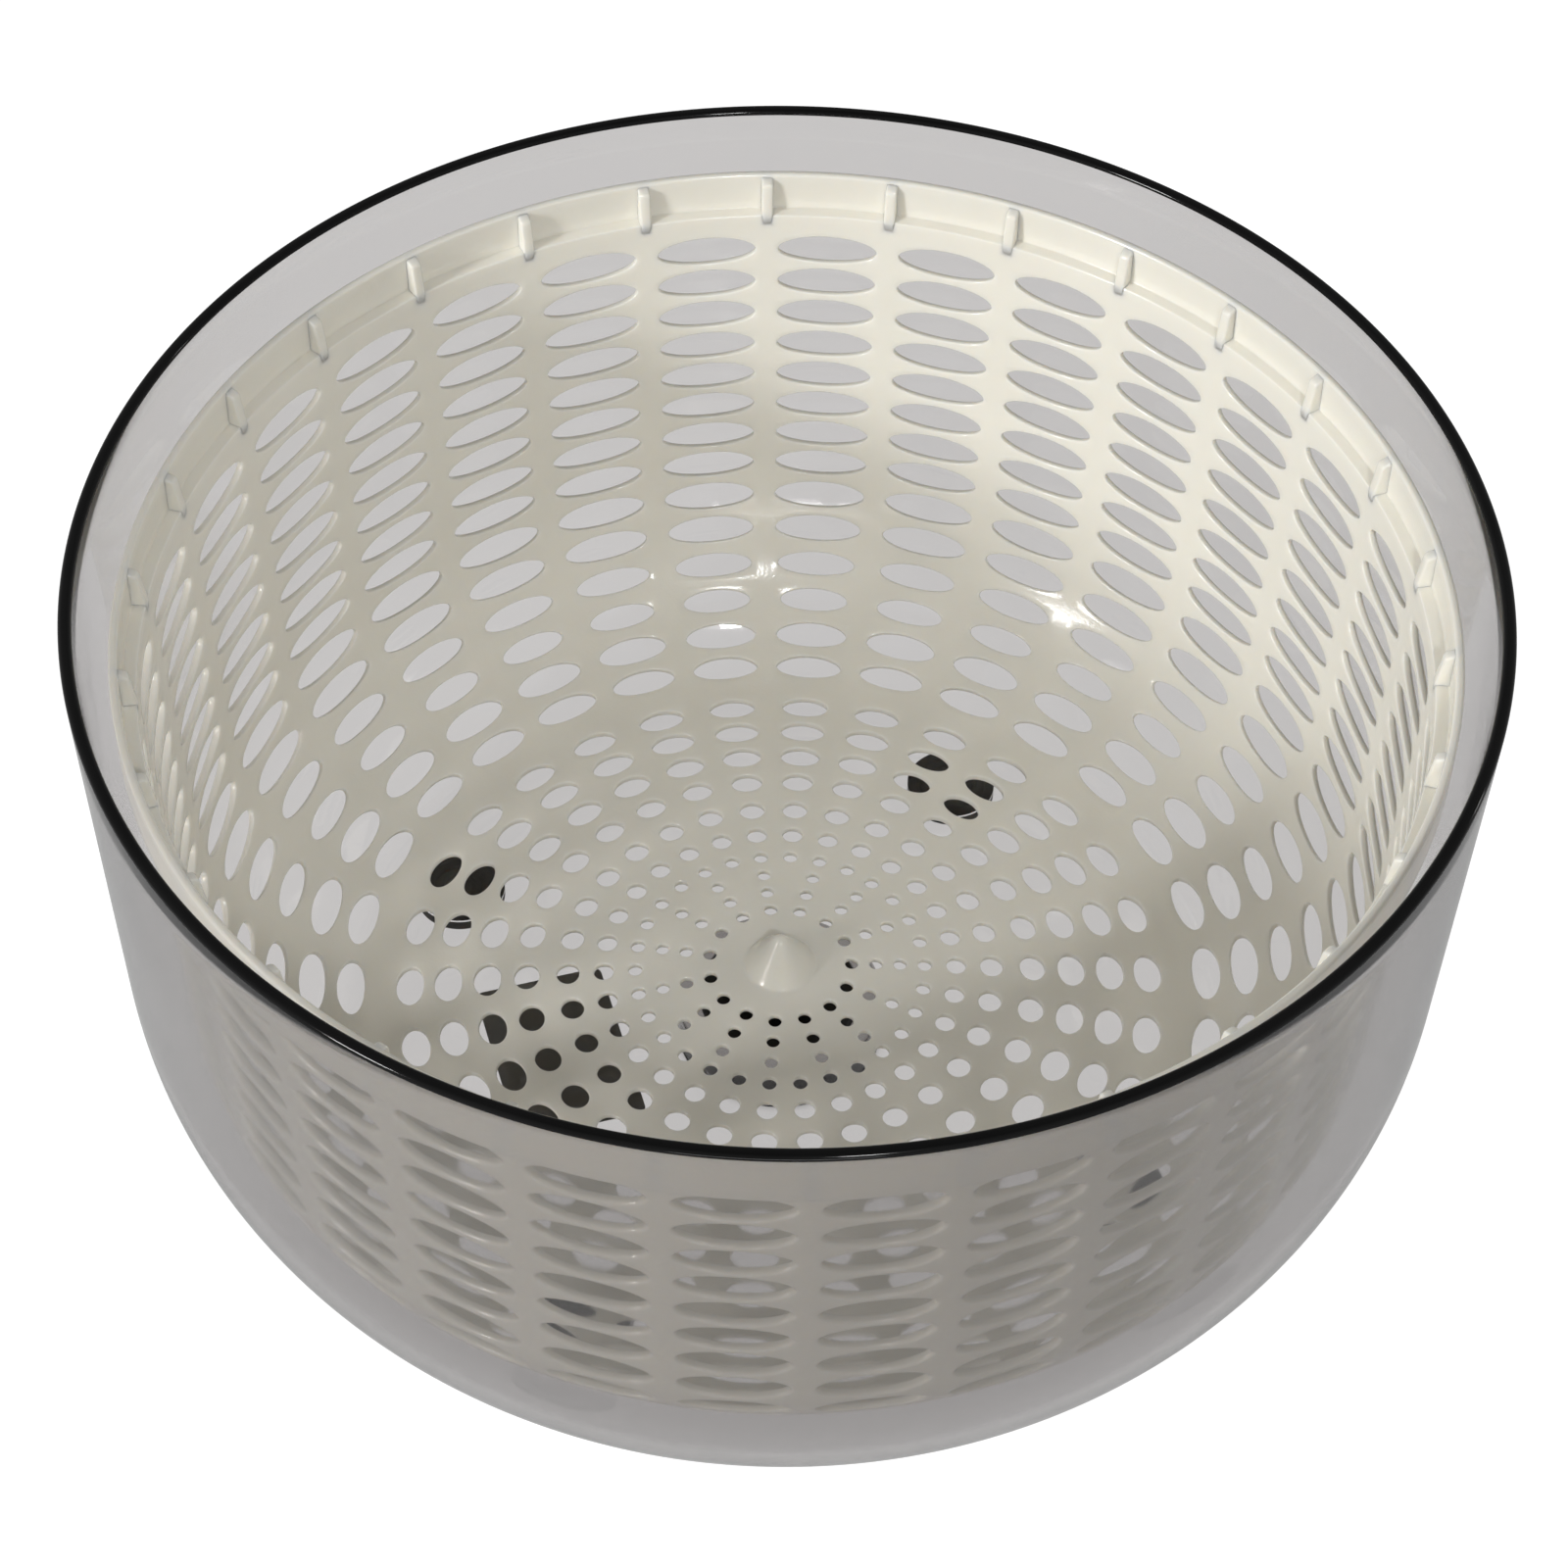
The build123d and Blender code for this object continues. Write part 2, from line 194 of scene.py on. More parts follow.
def fillet_line(corners, steps=5):
    """An open line from (radius, height, rounding) corners."""
    points = [corners[0][:2]]
    for before, corner, after in zip(corners, corners[1:], corners[2:]):
        if corner[2] > 0:
            points += fillet_corner(before[:2], corner[:2], after[:2], corner[2], steps)
        else:
            points.append(corner[:2])
    return [*points, corners[-1][:2]]


def finely(points, longest):
    """The same line with no step longer than this."""
    fine = [points[0]]
    for a, b in zip(points, points[1:]):
        count = max(1, int(np.ceil(hypot(b[0] - a[0], b[1] - a[1]) / longest)))
        fine += [tuple(np.add(a, np.subtract(b, a) * i / count)) for i in range(1, count + 1)]
    return fine


def inset_line(line, distance):
    """An open line moved to its right by a distance."""
    points = np.array(line)
    steps = np.diff(points, axis=0)
    steps /= np.linalg.norm(steps, axis=1)[:, None]
    before = np.vstack([steps[:1], steps])
    after = np.vstack([steps, steps[-1:]])
    along = before + after
    along /= np.linalg.norm(along, axis=1)[:, None]
    return points + np.stack([along[:, 1], -along[:, 0]], -1) * distance


# ---- meshes ----------------------------------------------------------------------------
def make_object(name, points, faces, sharp=None, slots=None):
    """A smooth shaded object from millimetre points and lists of corners."""
    mesh = bpy.data.meshes.new(name)
    mesh.from_pydata([tuple(p) for p in np.asarray(points) * MM], [], faces)
    if slots is not None:
        mesh.polygons.foreach_set("material_index", slots)
    shape = bmesh.new()
    shape.from_mesh(mesh)
    bmesh.ops.recalc_face_normals(shape, faces=shape.faces)
    shape.to_mesh(mesh)
    shape.free()
    mesh.shade_smooth()
    if sharp is not None:
        mesh.set_sharp_from_angle(angle=radians(sharp))
    obj = bpy.data.objects.new(name, mesh)
    bpy.context.scene.collection.objects.link(obj)
    return obj


class Builder:
    """Collects points and faces, and joins points that meet."""

    def __init__(self):
        self.points = []
        self.faces = []
        self.slots = []
        self.count = 0

    def add_points(self, points):
        """Adds an array of points and gives their numbers in the same shape."""
        points = np.asarray(points, float)
        numbers = np.arange(self.count, self.count + points[..., 0].size)
        self.count += numbers.size
        self.points.append(points.reshape(-1, 3))
        return numbers.reshape(points.shape[:-1])

    def add_grid(self, grid, wrap=True, slot=0):
        """Quads over a grid of point numbers, rows by places. wrap closes each row."""
        a, b = grid[:-1], grid[1:]
        quads = np.stack([a, np.roll(a, -1, 1), np.roll(b, -1, 1), b], -1)
        if not wrap:
            quads = quads[:, :-1]
        quads = quads.reshape(-1, 4).tolist()
        self.faces += quads
        self.slots += [slot] * len(quads)

    def add_faces(self, faces, slot=0):
        self.faces += faces
        self.slots += [slot] * len(faces)

    def object(self, name, sharp=None):
        """The object, with points closer than a thousandth of a millimetre joined."""
        points = np.concatenate(self.points)
        keys = np.round(points, 3)
        _, first, where = np.unique(keys, axis=0, return_index=True, return_inverse=True)
        where = where.ravel()
        faces, slots = [], []
        for face, slot in zip(self.faces, self.slots):
            numbers = [int(where[i]) for i in face]
            numbers = [n for i, n in enumerate(numbers) if n != numbers[i - 1]]
            if len(set(numbers)) > 2:
                faces.append(numbers)
                slots.append(slot)
        return make_object(name, points[first], faces, sharp, slots)


def ring_places(radius, z, turns):
    """Points round a circle at these turns from +Y towards +X, in radians."""
    radius, z, turns = np.broadcast_arrays(radius, z, turns)
    return np.stack([radius * np.sin(turns), radius * np.cos(turns), z], -1)


def add_lathe(builder, outline, steps, slot_of=None):
    """Turns an outline around the Z axis. It goes round the section with the solid on its
    left. slot_of gives a band's material from its middle radius and height."""
    turns = np.arange(steps) * 2 * pi / steps
    rows = [builder.add_points(ring_places(r, z, turns)) for r, z in outline]
    for (low, high), (a, b) in zip(zip(rows, rows[1:]), zip(outline, outline[1:])):
        slot = slot_of((a[0] + b[0]) / 2, (a[1] + b[1]) / 2) if slot_of else 0
        builder.add_grid(np.stack([low, high])[:, ::-1], slot=slot)


def lathe_object(name, outline, steps, sharp=None, slot_of=None):
    builder = Builder()
    add_lathe(builder, outline, steps, slot_of)
    return builder.object(name, sharp)


# ---- basket ----------------------------------------------------------------------------
class Skin:
    """The basket's inner skin: a point at a distance along it, moved outwards by a depth."""

    def __init__(self):
        taper = radians(TAPER)
        wall_at_corner = MOUTH_RADIUS - (LEDGE_Z - CORNER_Z) * tan(taper)
        self.centre = (wall_at_corner - CORNER_RADIUS / cos(taper), CORNER_Z)
        dr, dz = self.centre[0] - FLOOR_BEND[0], self.centre[1] - FLOOR_BEND[1]
        self.low = degrees(atan2(dz, dr) - asin(CORNER_RADIUS / hypot(dr, dz)))
        self.high = 90.0 - TAPER
        inner_slope = degrees(atan2(FLOOR_BEND[1] - HUB_Z, FLOOR_BEND[0] - HUB_RADIUS))
        bottom, top = arc(self.centre, CORNER_RADIUS, self.low, self.high, 1)
        self.bend = hypot(FLOOR_BEND[0] - HUB_RADIUS, FLOOR_BEND[1] - HUB_Z)
        self.corner = self.bend + hypot(bottom[0] - FLOOR_BEND[0], bottom[1] - FLOOR_BEND[1])
        self.wall = self.corner + CORNER_RADIUS * radians(self.high - self.low)
        self.end = self.wall + (LEDGE_Z - top[1]) / cos(taper)
        eased = (self.bend - BEND_EASING, self.bend + BEND_EASING)
        self.knots = [0, *eased, self.corner, self.wall]
        self.slopes = np.radians([inner_slope, inner_slope, self.low, self.low, self.high])
        fine = np.linspace(0, self.end, SKIN_STEPS + 1)
        slope = np.interp(fine, self.knots, self.slopes)
        step = fine[1]
        middle = (slope[1:] + slope[:-1]) / 2
        self.fine = fine
        self.radius = HUB_RADIUS + np.concatenate([[0], np.cumsum(np.cos(middle) * step)])
        self.height = HUB_Z + np.concatenate([[0], np.cumsum(np.sin(middle) * step)])

    def place(self, along, depth):
        """Radius and height at distances along the skin and depths behind it."""
        slope = np.interp(along, self.knots, self.slopes)
        radius = np.interp(along, self.fine, self.radius) + depth * np.sin(slope)
        height = np.interp(along, self.fine, self.height) - depth * np.cos(slope)
        return radius, height

    def at_radius(self, radius):
        """How far along the floor a radius is."""
        return float(np.interp(radius, self.radius, self.fine))

    def at_height(self, height):
        """How far along the wall a height is."""
        upper = self.fine > self.wall - 5
        return float(np.interp(height, self.height[upper], self.fine[upper]))


def hole_rows(skin):
    """Each row of holes from the middle outwards: distance along, width, height, columns."""
    rows = [(skin.at_radius(r), w, h, 2) for r, w, h in SPARSE_RINGS]
    rows += [(skin.at_radius(r), w, h, 1) for r, w, h in FULL_RINGS]
    for i, (width, height) in enumerate(CORNER_ROWS):
        angle = CORNER_ROW_START + i * CORNER_ROW_PITCH
        along = skin.corner + CORNER_RADIUS * radians(angle - skin.low)
        rows.append((along, width, height, 1))
    lowest = skin.at_height(LOWEST_WALL_ROW_Z)
    for i in range(WALL_ROWS):
        width = LOWEST_WALL_HOLE_WIDTH + i * WALL_HOLE_WIDTH_STEP
        rows.append((lowest + i * WALL_ROW_PITCH, width, WALL_HOLE_HEIGHT, 1))
    return rows


def cell_edge(turn, half_turn, low, high, across, up):
    """Turns and distances round a cell's edge, from its right side's foot anticlockwise."""
    right = [(turn + half_turn, low + (high - low) * i / up) for i in range(up)]
    top = [(turn + half_turn - 2 * half_turn * i / across, high) for i in range(across)]
    left = [(turn - half_turn, high - (high - low) * i / up) for i in range(up)]
    foot = [(turn - half_turn + 2 * half_turn * i / across, low) for i in range(across)]
    return np.array(right + top + left + foot).T


def add_cell(builder, skin, turn, row, low, high):
    """One hole with the patch of both skins around it."""
    along, width, height, columns = row
    across = STEPS_ACROSS * columns
    count = 2 * (across + STEPS_UP)
    edge_turn, edge_along = cell_edge(
        turn, radians(180 / COLUMNS) * columns, low, high, across, STEPS_UP
    )
    t = (np.arange(count) - STEPS_UP / 2) * 2 * pi / count

    def oval(grow):
        spot = along + (height / 2 + grow) * np.sin(t)
        radius, _ = skin.place(spot, 0)
        return turn + np.arcsin((width / 2 + grow) * np.cos(t) / radius), spot

    def loop(turns, spots, depth):
        radius, z = skin.place(spots, depth)
        return ring_places(radius, z, turns)

    def halfway(lip):
        lip_turn, lip_along = oval(lip)
        return (edge_turn + lip_turn) / 2, (edge_along + lip_along) / 2

    inner, outer = HOLE_LIPS
    loops = [loop(edge_turn, edge_along, 0), loop(*halfway(inner), 0)]
    for a in np.radians([0, 30, 60, 90]):
        loops.append(loop(*oval(inner * (1 - sin(a))), inner * (1 - cos(a))))
    for a in np.radians([90, 72, 54, 36, 18, 0]):
        loops.append(loop(*oval(outer * (1 - sin(a))), WALL - outer * (1 - cos(a))))
    loops += [loop(*halfway(outer), WALL), loop(edge_turn, edge_along, WALL)]
    builder.add_grid(builder.add_points(np.stack(loops)))


def add_collar(builder, skin, start, turns):
    """The plain top of the wall, the ledge and the upright band, down to the outer skin."""
    first, last = skin.place(start, 0), skin.place(start, WALL)
    inner = COLLAR_RADIUS - WALL
    under_z = LEDGE_Z - WALL
    under = skin.place(skin.at_height(under_z), WALL)
    outline = fillet_line(
        [
            (*first, 0),
            (MOUTH_RADIUS, LEDGE_Z, 0.35),
            (inner, LEDGE_Z, 0.3),
            (inner, COLLAR_TOP_Z, COLLAR_FILLET),
            (COLLAR_RADIUS, COLLAR_TOP_Z, COLLAR_FILLET),
            (COLLAR_RADIUS, under_z, 0.4),
            (float(under[0]), under_z, 0.5),
            (*last, 0),
        ]
    )
    rows = [builder.add_points(ring_places(r, z, turns)) for r, z in finely(outline, 2.0)]
    builder.add_grid(np.stack(rows))


def reducing_faces(outer, inner):
    """Faces that join a ring of points to an inner ring that has a third as many."""
    count = len(inner)
    faces = []
    for i in range(count):
        wide = [int(outer[(3 * i + j) % (3 * count)]) for j in range(4)]
        faces.append([*wide, int(inner[(i + 1) % count]), int(inner[i])])
    return faces


def cone_line(base_radius, base_z, root_fillet, start):
    """From a starting corner over a cone to its round tip on the axis."""
    centre_z = base_z + CONE_HEIGHT - CONE_TIP
    drop = centre_z - base_z
    slope = acos(CONE_TIP / hypot(base_radius, drop)) - atan2(drop, base_radius)
    tangent = (CONE_TIP * cos(slope), centre_z + CONE_TIP * sin(slope))
    line = fillet_line([(*start, 0), (base_radius, base_z, root_fillet), (*tangent, 0)])
    tip = arc((0, centre_z), CONE_TIP, 90 + degrees(slope), 180, 8)
    return finely(line, 1.0) + tip[1:]


def add_hub(builder, skin, start, turns):
    """The middle of the floor with its cone, and the socket beneath it."""
    few = turns[::3]
    top = cone_line(CONE_RADIUS, HUB_Z, 1.0, (HUB_RADIUS + 0.6, HUB_Z - 0.03))
    under_z = HUB_Z - WALL
    socket = fillet_line(
        [
            (HUB_RADIUS + 1.0, under_z - 0.04, 0),
            (SOCKET_RADII[1], under_z, 0.6),
            (SOCKET_RADII[1], SOCKET_Z, 0.4),
            (SOCKET_RADII[0], SOCKET_Z, 0.4),
            (SOCKET_RADII[0], under_z, 0.5),
            (CONE_RADIUS - WALL + 0.6, under_z, 0),
        ]
    )
    below = socket[:-1] + cone_line(CONE_RADIUS - WALL, under_z, 0.3, socket[-1])
    for outline, depth, flip in ((top, 0, False), (below, WALL, True)):
        wide = builder.add_points(ring_places(*skin.place(start, depth), turns))
        rows = [builder.add_points(ring_places(r, z, few)) for r, z in outline]
        rim = reducing_faces(wide, rows[0])
        if flip:
            builder.add_faces(rim)
            builder.add_grid(np.stack(rows))
        else:
            builder.add_faces([f[::-1] for f in rim])
            builder.add_grid(np.stack(rows)[:, ::-1])


def add_rib(builder, skin, turn):
    """One upright rib of the collar. Its inner edge fades into the wall below the ledge."""
    foot_z = LEDGE_Z - RIB_FOOT
    foot = float(skin.place(skin.at_height(foot_z), 0)[0])
    buried = COLLAR_RADIUS - WALL / 2
    shoulder_z = COLLAR_TOP_Z - RIB_SHOULDER
    top_z = COLLAR_TOP_Z - COLLAR_FILLET
    side = fillet_line(
        [
            (foot + 0.9, foot_z - 0.3, 0),
            (foot + 0.1, foot_z, 0.8),
            (MOUTH_RADIUS - 0.25, LEDGE_Z - 0.4, 2.0),
            (MOUTH_RADIUS + RIB_LEAN, shoulder_z, 1.2),
            (COLLAR_RADIUS - WALL + 0.3, top_z, 0.8),
            (buried, top_z - 0.1, 0),
        ]
    )
    side = finely(side, 1.2)
    hidden = [(buried, z) for z in np.linspace(side[-1][1], side[0][1], len(side))[::-1]]
    half = RIB_WIDTH / 2
    rows = []
    for a in np.radians([0, 30, 60, 90]):
        rows.append((-half + RIB_EDGE * (1 - cos(a)), RIB_EDGE * (1 - sin(a))))
    rows += [(-place, inset) for place, inset in rows[::-1]]

    def across(line, place):
        return [(r * sin(turn) + place * cos(turn), r * cos(turn) - place * sin(turn), z)
                for r, z in line]

    lines = [across(hidden, -half)]
    lines += [across(inset_line(side, inset), place) for place, inset in rows]
    lines.append(across(hidden, half))
    grid = builder.add_points(np.array(lines))
    builder.add_grid(grid, wrap=False)
    builder.add_grid(grid[[-1, 0]], wrap=False)
    builder.add_faces([[int(n) for n in grid[:, 0]][::-1], [int(n) for n in grid[:, -1]]])


def make_basket():
    """The whole basket, as one closed mesh and the ribs that grow out of it."""
    skin = Skin()
    rows = hole_rows(skin)
    middles = [(a[0] + b[0]) / 2 for a, b in zip(rows, rows[1:])]
    start = rows[0][0] - (middles[0] - rows[0][0])
    stop = rows[-1][0] + (rows[-1][0] - middles[-1])
    bounds = [start, *middles, stop]
    pitch = radians(360 / COLUMNS)
    first = radians(REST_TURN)
    builder = Builder()
    for row, low, high in zip(rows, bounds, bounds[1:]):
        columns = row[3]
        for k in range(0, COLUMNS, columns):
            middle = k + columns - 0.5
            add_cell(builder, skin, first + middle * pitch, row, low, high)
    turns = first + pitch / 2 + np.arange(COLUMNS * STEPS_ACROSS) * pitch / STEPS_ACROSS
    add_collar(builder, skin, stop, turns)
    add_hub(builder, skin, start, turns)
    for k in range(COLUMNS):
        add_rib(builder, skin, first + k * pitch)
    return builder.object("basket_body", sharp=40)


# ---- bowl ------------------------------------------------------------------------------
def bowl_side(inset):
    """The bowl's skin moved inwards, from the edge of the flat base up to the rim."""
    taper = radians(BOWL_TAPER)
    wall_at_corner = RIM_RADIUS - (RIM_Z - BOWL_CORNER_Z) * tan(taper)
    centre = (wall_at_corner - BOWL_CORNER_RADIUS / cos(taper), BOWL_CORNER_Z)
    fillet = BASE_EDGE_FILLET - inset
    corner = BOWL_CORNER_RADIUS - inset
    base_z = BASE_Z + inset
    rise = centre[1] - base_z - fillet
    across = sqrt((corner - fillet) ** 2 - rise**2)
    join = degrees(atan2(across, rise))
    foot = arc((centre[0] + across, base_z + fillet), fillet, 0, join, 10)
    bend = arc(centre, corner, join, 90 - BOWL_TAPER, 34)
    rim = (RIM_RADIUS - inset / cos(taper), RIM_Z)
    return foot, bend[1:], rim


def bowl_outline():
    """Round the bowl's whole section, from the axis under the base."""
    foot, bend, rim = bowl_side(0)
    inner_foot, inner_bend, inner_rim = bowl_side(BOWL_WALL)
    edge = fillet_line(
        [
            (*bend[-1], 0),
            (*rim, RIM_FILLET),
            (*inner_rim, RIM_FILLET),
            (*inner_bend[-1], 0),
        ],
        steps=6,
    )
    ring = fillet_line(
        [
            (*inner_foot[0], 0),
            (RING_OUTER_RADIUS, FLOOR_Z, 2.0),
            (RING_OUTER_RADIUS, RING_TOP_Z, 0.8),
            (RING_INNER_RADIUS, RING_TOP_Z, 0.8),
            (RING_INNER_RADIUS, FLOOR_Z, 0),
            (0, FLOOR_Z, 0),
        ],
        steps=6,
    )
    whole = [(0, BASE_Z), *foot, *bend[:-1], *edge, *inner_bend[::-1][1:], *inner_foot[::-1][:-1]]
    return finely(whole + ring, 6.0)


def make_bowl():
    """The bowl with its ring, and seats for the feet cut into the base."""
    rim_start = RIM_Z - RIM_FILLET
    # the band above rim_start takes the second slot: near-black painted shade for the dark that
    # the smoked edge shows as light runs down the wall
    whole = lathe_object(
        "bowl_uncut", bowl_outline(), BOWL_STEPS, slot_of=lambda r, z: int(z > rim_start)
    )
    cutters = []
    for foot in FEET:
        low, high = box_mm(foot)
        radius = (high.x - low.x) / 2
        outline = [(0, BASE_Z - 2), (radius, BASE_Z - 2), (radius, high.z), (0, high.z)]
        cutter = lathe_object(f"{foot}_seat", outline, 96)
        cutter.location = foot_place(foot)
        cutters.append(cutter)
        cut = whole.modifiers.new(foot, "BOOLEAN")
        cut.object = cutter
        cut.solver = "EXACT"
    graph = bpy.context.evaluated_depsgraph_get()
    mesh = bpy.data.meshes.new_from_object(whole.evaluated_get(graph))
    for obj in (whole, *cutters):
        bpy.data.objects.remove(obj)
    mesh.set_sharp_from_angle(angle=radians(50))
    bowl = bpy.data.objects.new("bowl_body", mesh)
    bpy.context.scene.collection.objects.link(bowl)
    return bowl


# ---- feet, pivot and label -------------------------------------------------------------
def make_foot(node):
    """A round foot with rounded ring grooves in both faces."""
    low, high = box_mm(node)
    radius = (high.x - low.x) / 2 - FOOT_SLACK
    top_z, half = high.z - APART, FOOT_GROOVE_WIDTH / 2
    under, over = [(0, low.z, 0)], [(0, top_z, 0)]
    for groove in FOOT_GROOVES:
        for line, face, deep in (
            (under, low.z, low.z + FOOT_GROOVE_DEPTH),
            (over, top_z, top_z - FOOT_GROOVE_DEPTH),
        ):
            line += [
                (groove - half, face, 0.18),
                (groove - half, deep, 0.15),
                (groove + half, deep, 0.15),
                (groove + half, face, 0.18),
            ]
    edge = [(radius, low.z, 0.7), (radius, top_z, 0.15)]
    outline = fillet_line([*under, *edge, *over[::-1]], steps=4)
    obj = lathe_object(f"{node}_body", outline, 128, sharp=50)
    obj.data.transform(Matrix.Translation(foot_place(node)))
    return obj


def make_bush():
    """The black bearing in the ring: a capped skirt with a bored tube down its middle."""
    radius, foot_z, top_z = BUSH_HIGH.x - BUSH_SLACK, BUSH_LOW.z + APART, BUSH_HIGH.z
    cap_z = top_z - BUSH_SKIN
    in_bore = (BUSH_BORE, top_z - 3, 0)
    outline = fillet_line(
        [
            in_bore,
            (BUSH_BORE, foot_z, 0.2),
            (BUSH_TUBE_RADIUS, foot_z, 0.2),
            (BUSH_TUBE_RADIUS, cap_z, 0.3),
            (radius - BUSH_SKIN, cap_z, 0.3),
            (radius - BUSH_SKIN, foot_z, 0.2),
            (radius, foot_z, 0.2),
            (radius, top_z, 0.8),
            (BUSH_BORE, top_z, 0.3),
            in_bore,
        ]
    )
    return lathe_object("pivot_bush_body", finely(outline, 2.0), 128, sharp=50)


def make_spindle():
    """The turning pivot: shaft, collar and a pointed nose that fits the basket's cone."""
    low_z, high_z = SPINDLE_LOW.z, SPINDLE_HIGH.z
    collar = SPINDLE_HIGH.x
    nose = CONE_RADIUS - WALL - PIVOT_GAP
    nose_z = HUB_Z - WALL - PIVOT_GAP
    tip = CONE_TIP - PIVOT_GAP
    centre_z = high_z - tip
    drop = centre_z - nose_z
    slope = acos(tip / hypot(nose, drop)) - atan2(drop, nose)
    line = fillet_line(
        [
            (0, low_z, 0),
            (SHAFT_RADIUS, low_z, 0.4),
            (SHAFT_RADIUS, SHAFT_COLLAR_Z[0], 0.2),
            (collar, SHAFT_COLLAR_Z[0], 0.3),
            (collar, SHAFT_COLLAR_Z[1], 0.4),
            (nose, SHAFT_COLLAR_Z[1], 0.3),
            (nose, nose_z, 0.3),
            (tip * cos(slope), centre_z + tip * sin(slope), 0),
        ]
    )
    outline = finely(line, 1.5) + arc((0, centre_z), tip, 90 + degrees(slope), 180, 8)[1:]
    return lathe_object("pivot_spindle_body", outline, 96, sharp=50)


def make_label():
    """The blank label under the base, with softened edges."""
    centre, low_z, top_z = (LABEL_LOW + LABEL_HIGH) / 2, LABEL_LOW.z, LABEL_HIGH.z - APART
    half = (LABEL_WIDTH / 2, LABEL_HEIGHT / 2)
    turn = Matrix.Rotation(radians(LABEL_TURN), 2)
    builder = Builder()
    loops = []
    for inset, z in ((0.06, low_z), (0, low_z + 0.05), (0, top_z - 0.03), (0.03, top_z)):
        places = []
        for quarter, (sx, sy) in enumerate(((1, 1), (-1, 1), (-1, -1), (1, -1))):
            for i in range(7):
                a = radians(90 * (quarter + i / 6))
                x = sx * (half[0] - LABEL_CORNER) + (LABEL_CORNER - inset) * cos(a)
                y = sy * (half[1] - LABEL_CORNER) + (LABEL_CORNER - inset) * sin(a)
                spot = turn @ Vector((x, y))
                places.append((centre.x + spot.x, centre.y + spot.y, z))
        loops.append(places)
    grid = builder.add_points(np.array(loops))
    builder.add_grid(grid)
    builder.add_faces([grid[0].tolist()[::-1], grid[-1].tolist()])
    return builder.object("base_label_body", sharp=40)


# ---- materials -------------------------------------------------------------------------
def new_material(name):
    """A new node material, its tree and its Principled node."""
    material = bpy.data.materials.new(name)
    material.use_nodes = True
    tree = material.node_tree
    shader = tree.nodes["Principled BSDF"]
    return material, tree, shader


def noise(tree, scale, detail=3.0, roughness=0.5):
    """A noise texture over the piece's own space."""
    place = tree.nodes.new("ShaderNodeTexCoord")
    texture = tree.nodes.new("ShaderNodeTexNoise")
    texture.inputs["Scale"].default_value = scale
    texture.inputs["Detail"].default_value = detail
    texture.inputs["Roughness"].default_value = roughness
    tree.links.new(place.outputs["Object"], texture.inputs["Vector"])
    return texture.outputs["Fac"]


def spread(tree, value, low, high, start=0.3, stop=0.7):
    """A value moved from one range to another."""
    node = tree.nodes.new("ShaderNodeMapRange")
    tree.links.new(value, node.inputs["Value"])
    node.inputs["From Min"].default_value = start
    node.inputs["From Max"].default_value = stop
    node.inputs["To Min"].default_value = low
    node.inputs["To Max"].default_value = high
    return node.outputs["Result"]


def two_colours(tree, value, first, second):
    """A colour between two, by a value from 0 to 1."""
    node = tree.nodes.new("ShaderNodeMix")
    node.data_type = "RGBA"
    tree.links.new(value, node.inputs["Factor"])
    node.inputs["A"].default_value = (*first, 1)
    node.inputs["B"].default_value = (*second, 1)
    return node.outputs["Result"]


def bump(tree, shader, value, distance, strength=1.0):
    """Raises the surface by a value times a distance in metres."""
    node = tree.nodes.new("ShaderNodeBump")
    node.inputs["Strength"].default_value = strength
    node.inputs["Distance"].default_value = distance
    tree.links.new(value, node.inputs["Height"])
    tree.links.new(node.outputs["Normal"], shader.inputs["Normal"])


SMOKE = (0.72, 0.71, 0.71)  # tint of what passes both faces of a wall
SMOKE_DEEP = (0.69, 0.68, 0.68)  # where the mottling is deepest
SMOKE_CLEAR = 0.96  # share of a lamp's light that each face passes, before the tint
SMOKE_BODY = (0.12, 0.09, 0.07)  # colour that the thickness leaves
SMOKE_DENSITY = 100.0  # absorption, per metre
GLOW_WEIGHT = 0.6  # share of light that spreads inside the cream plastic
GLOW_REACH = 0.0015  # how far it spreads, in metres


def smoked_plastic():
    """Clear smoked plastic. Lamps and soft light pass straight through it."""
    material, tree, shader = new_material("smoked_clear_plastic")
    shader.inputs["Transmission Weight"].default_value = 1.0
    shader.inputs["IOR"].default_value = 1.49
    colour = two_colours(tree, noise(tree, 9.0, 2.0), SMOKE, SMOKE_DEEP)
    tree.links.new(colour, shader.inputs["Base Color"])
    roughness = spread(tree, noise(tree, 60.0, 5.0, 0.65), 0.02, 0.06)
    tree.links.new(roughness, shader.inputs["Roughness"])
    bump(tree, shader, noise(tree, 14.0, 1.0), 0.0004, 0.12)
    clear = tree.nodes.new("ShaderNodeBsdfTransparent")
    clear.inputs["Color"].default_value = (*[sqrt(c) * SMOKE_CLEAR for c in SMOKE], 1)
    body = tree.nodes.new("ShaderNodeVolumeAbsorption")
    body.inputs["Color"].default_value = (*SMOKE_BODY, 1)
    body.inputs["Density"].default_value = SMOKE_DENSITY
    tree.links.new(body.outputs[0], tree.nodes["Material Output"].inputs["Volume"])
    path = tree.nodes.new("ShaderNodeLightPath")
    either = tree.nodes.new("ShaderNodeMath")
    either.operation = "MAXIMUM"
    tree.links.new(path.outputs["Is Shadow Ray"], either.inputs[0])
    tree.links.new(path.outputs["Is Diffuse Ray"], either.inputs[1])
    mix = tree.nodes.new("ShaderNodeMixShader")
    tree.links.new(either.outputs[0], mix.inputs["Fac"])
    tree.links.new(shader.outputs[0], mix.inputs[1])
    tree.links.new(clear.outputs[0], mix.inputs[2])
    tree.links.new(mix.outputs[0], tree.nodes["Material Output"].inputs["Surface"])
    return material


